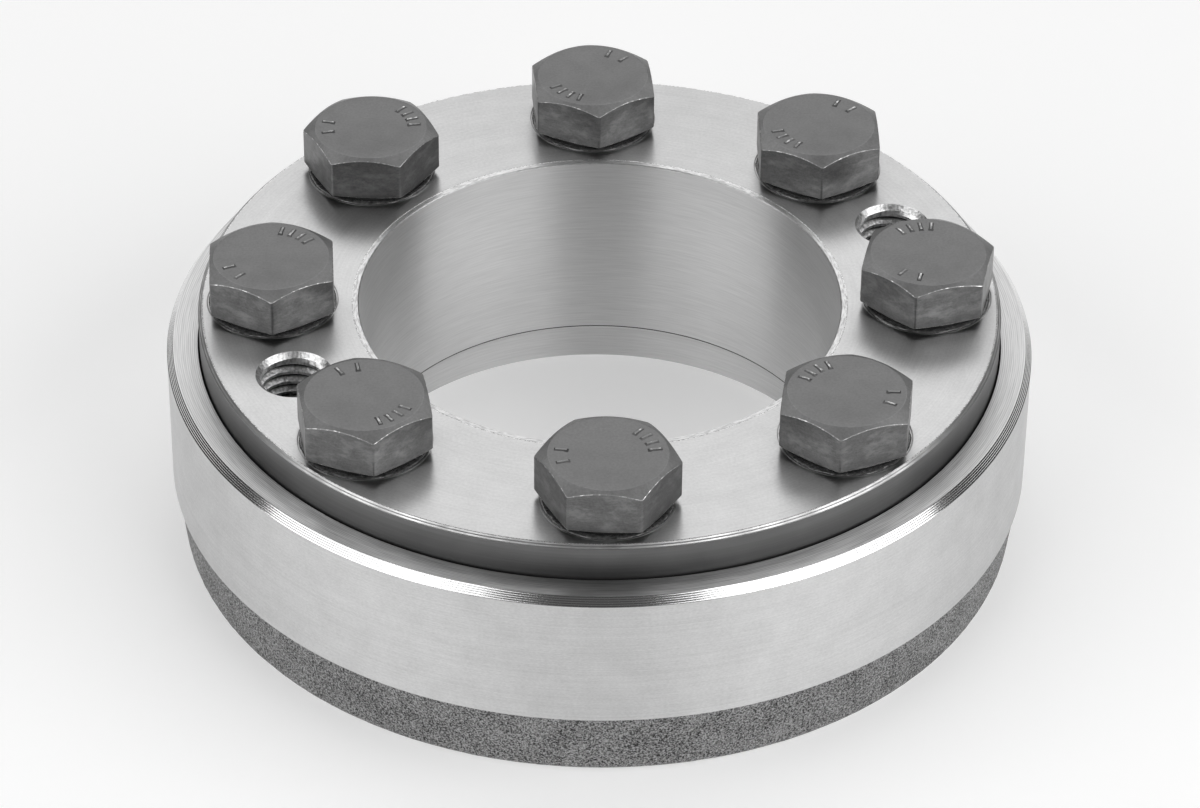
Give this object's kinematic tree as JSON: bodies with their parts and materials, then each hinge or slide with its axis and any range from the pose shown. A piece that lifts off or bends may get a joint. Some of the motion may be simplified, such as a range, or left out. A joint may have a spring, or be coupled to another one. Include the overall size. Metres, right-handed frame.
{
  "type": "shrink disc",
  "caption": "Shrink disc that clamps a hollow shaft: bolts draw a flanged conical sleeve into a ring with a conical bore until their front faces are flush.",
  "frame": {"origin": "on the axis, at the outer ring's back face, which the disc stands on", "axes": "+Z along the axis towards the bolt heads; +X through clamping_bolt_1"},
  "size_m": [0.09, 0.09, 0.0327],
  "materials": {
    "turned_steel": "turned and lightly oiled, with the forged skin left on the lower edge of the outer ring",
    "black_steel": "black oxide, oiled, bright where the edges are worn"
  },
  "bodies": {
    "outer_ring": {"outer_ring": "turned_steel"},
    "inner_ring": {"inner_ring": "turned_steel"},
    "bolt_1": {"clamping_bolt_1": "black_steel"},
    "bolt_2": {"clamping_bolt_2": "black_steel"},
    "bolt_3": {"clamping_bolt_3": "black_steel"},
    "bolt_4": {"clamping_bolt_4": "black_steel"},
    "bolt_5": {"clamping_bolt_5": "black_steel"},
    "bolt_6": {"clamping_bolt_6": "black_steel"},
    "bolt_7": {"clamping_bolt_7": "black_steel"},
    "bolt_8": {"clamping_bolt_8": "black_steel"}
  },
  "joints": [
    {"name": "inner_ring_draw", "type": "slide", "parent": "outer_ring", "child": "inner_ring", "axis": [0, 0, -1], "range_m": [0, 0.004]},
    {"name": "bolt_1_turn", "type": "hinge", "parent": "inner_ring", "child": "bolt_1", "pos_m": [0.0339, 0, 0.027], "axis": [0, 0, -1], "range_deg": [0, 1152.1]},
    {"name": "bolt_2_turn", "type": "hinge", "parent": "inner_ring", "child": "bolt_2", "pos_m": [0.02397, 0.02397, 0.027], "axis": [0, 0, -1], "range_deg": [0, 1152.1]},
    {"name": "bolt_3_turn", "type": "hinge", "parent": "inner_ring", "child": "bolt_3", "pos_m": [0, 0.0339, 0.027], "axis": [0, 0, -1], "range_deg": [0, 1152.1]},
    {"name": "bolt_4_turn", "type": "hinge", "parent": "inner_ring", "child": "bolt_4", "pos_m": [-0.02397, 0.02397, 0.027], "axis": [0, 0, -1], "range_deg": [0, 1152.1]},
    {"name": "bolt_5_turn", "type": "hinge", "parent": "inner_ring", "child": "bolt_5", "pos_m": [-0.0339, 0, 0.027], "axis": [0, 0, -1], "range_deg": [0, 1152.1]},
    {"name": "bolt_6_turn", "type": "hinge", "parent": "inner_ring", "child": "bolt_6", "pos_m": [-0.02397, -0.02397, 0.027], "axis": [0, 0, -1], "range_deg": [0, 1152.1]},
    {"name": "bolt_7_turn", "type": "hinge", "parent": "inner_ring", "child": "bolt_7", "pos_m": [0, -0.0339, 0.027], "axis": [0, 0, -1], "range_deg": [0, 1152.1]},
    {"name": "bolt_8_turn", "type": "hinge", "parent": "inner_ring", "child": "bolt_8", "pos_m": [0.02397, -0.02397, 0.027], "axis": [0, 0, -1], "range_deg": [0, 1152.1]}
  ],
  "couplings": [
    {"joint": "bolt_1_turn", "follows": "inner_ring_draw", "rad_per_m": 5026.5},
    {"joint": "bolt_2_turn", "follows": "inner_ring_draw", "rad_per_m": 5026.5},
    {"joint": "bolt_3_turn", "follows": "inner_ring_draw", "rad_per_m": 5026.5},
    {"joint": "bolt_4_turn", "follows": "inner_ring_draw", "rad_per_m": 5026.5},
    {"joint": "bolt_5_turn", "follows": "inner_ring_draw", "rad_per_m": 5026.5},
    {"joint": "bolt_6_turn", "follows": "inner_ring_draw", "rad_per_m": 5026.5},
    {"joint": "bolt_7_turn", "follows": "inner_ring_draw", "rad_per_m": 5026.5},
    {"joint": "bolt_8_turn", "follows": "inner_ring_draw", "rad_per_m": 5026.5}
  ]
}
